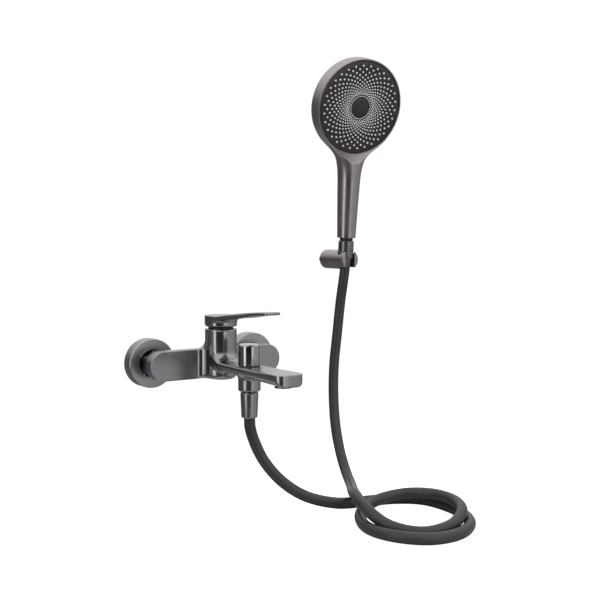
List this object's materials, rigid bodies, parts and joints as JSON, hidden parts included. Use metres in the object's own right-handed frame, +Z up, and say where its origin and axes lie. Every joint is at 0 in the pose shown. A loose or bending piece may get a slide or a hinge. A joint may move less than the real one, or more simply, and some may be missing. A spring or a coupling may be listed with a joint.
{
  "type": "wall mounted bath faucet",
  "caption": "Wall mounted bath mixer with flat arms, fixed spout, single lever, pull-up diverter, hose and a round hand shower in a wall bracket.",
  "frame": {"origin": "point of the wall plane midway between the two inlets", "axes": "+Y into the wall, -Y towards the user, +X to the right seen from the front, +Z up"},
  "size_m": [0.3833, 0.3927, 0.5821],
  "materials": {
    "gunmetal": "fine brushed dark metal coating",
    "rose": "brushed, lighter and warmer",
    "satin": "satin warm grey metal coating",
    "polished": "polished dark metal",
    "dark_steel": "dark plated nut",
    "brass": "machined",
    "steel": "machined stainless steel",
    "white_plastic": "moulded",
    "black_plastic": "moulded",
    "rubber": "matt seal rubber",
    "ceramic": "lapped ceramic",
    "charcoal": "dark satin spray face",
    "silicone": "pale silicone nozzles",
    "vinyl": "smooth dark grey hose"
  },
  "bodies": {
    "base": {"left_seal_ring": "rubber", "right_seal_ring": "rubber", "left_escutcheon": "rose", "left_eccentric_union": "dark_steel", "left_filter_washer": "rubber", "left_inlet_nipple": "dark_steel", "left_union_nut": "dark_steel", "right_escutcheon": "rose", "right_eccentric_union": "dark_steel", "right_filter_washer": "rubber", "right_inlet_nipple": "dark_steel", "right_union_nut": "dark_steel", "faucet_body": "gunmetal", "seat_gasket": "rubber", "cartridge_base": "white_plastic", "fixed_disc": "ceramic", "cartridge_housing": "black_plastic", "retaining_nut": "brass", "neck_ring": "black_plastic", "diverter_bonnet": "brass", "diverter_spring": "steel", "aerator_housing": "gunmetal", "aerator_insert": "white_plastic", "aerator_washer": "rubber", "shower_outlet_nipple": "dark_steel", "lower_hose_washer": "rubber", "lower_hose_ferrule": "brass", "lower_hose_nut": "gunmetal", "wall_bracket": "satin", "bracket_puck": "steel", "puck_screw": "steel", "wall_anchor": "white_plastic", "bracket_grub_screw": "steel", "hose": "vinyl"},
    "turret": {"cartridge_turret": "white_plastic", "pivot_pin": "steel"},
    "lever": {"cartridge_stem": "steel", "handle": "gunmetal", "handle_grub_screw": "steel", "index_plug": "polished"},
    "disc": {"moving_disc": "ceramic", "disc_carrier": "white_plastic"},
    "diverter": {"diverter_knob": "polished", "diverter_stem": "brass", "diverter_plunger": "white_plastic", "plunger_seal": "rubber"},
    "hose_end": {"upper_hose_ferrule": "brass"},
    "hand_shower": {"cone_nut": "dark_steel", "upper_hose_washer": "rubber", "shower_inlet": "black_plastic", "flow_filter": "white_plastic", "shower_shell": "satin", "face_plate": "charcoal", "nozzle_mat": "silicone", "centre_cap": "charcoal", "spray_plate": "white_plastic"}
  },
  "joints": [
    {"name": "handle_turn", "type": "hinge", "parent": "base", "child": "turret", "pos_m": [0, -0.063, 0.04], "axis": [0, 0, 1], "range_deg": [-50, 50]},
    {"name": "handle_lift", "type": "hinge", "parent": "turret", "child": "lever", "pos_m": [0, -0.063, 0.04], "axis": [-1, 0, 0], "range_deg": [0, 20]},
    {"name": "disc_slide", "type": "slide", "parent": "turret", "child": "disc", "axis": [0, -1, 0], "range_m": [0, 0.0035]},
    {"name": "diverter_pull", "type": "slide", "parent": "base", "child": "diverter", "axis": [0, 0, 1], "range_m": [0, 0.007], "stiffness_N_per_m": 150, "springref_m": -0.004, "deforming": ["diverter_spring"]},
    {"name": "shower_lift", "type": "slide", "parent": "base", "child": "hose_end", "axis": [0, -0.0541, 0.9985], "range_m": [0, 0.03]},
    {"name": "shower_turn", "type": "hinge", "parent": "hose_end", "child": "hand_shower", "pos_m": [0.2113, -0.04485, 0.1304], "axis": [0, -0.0541, 0.9985], "range_deg": [-45, 45]}
  ],
  "couplings": [
    {"joint": "disc_slide", "follows": "handle_lift", "m_per_rad": 0.0098}
  ]
}
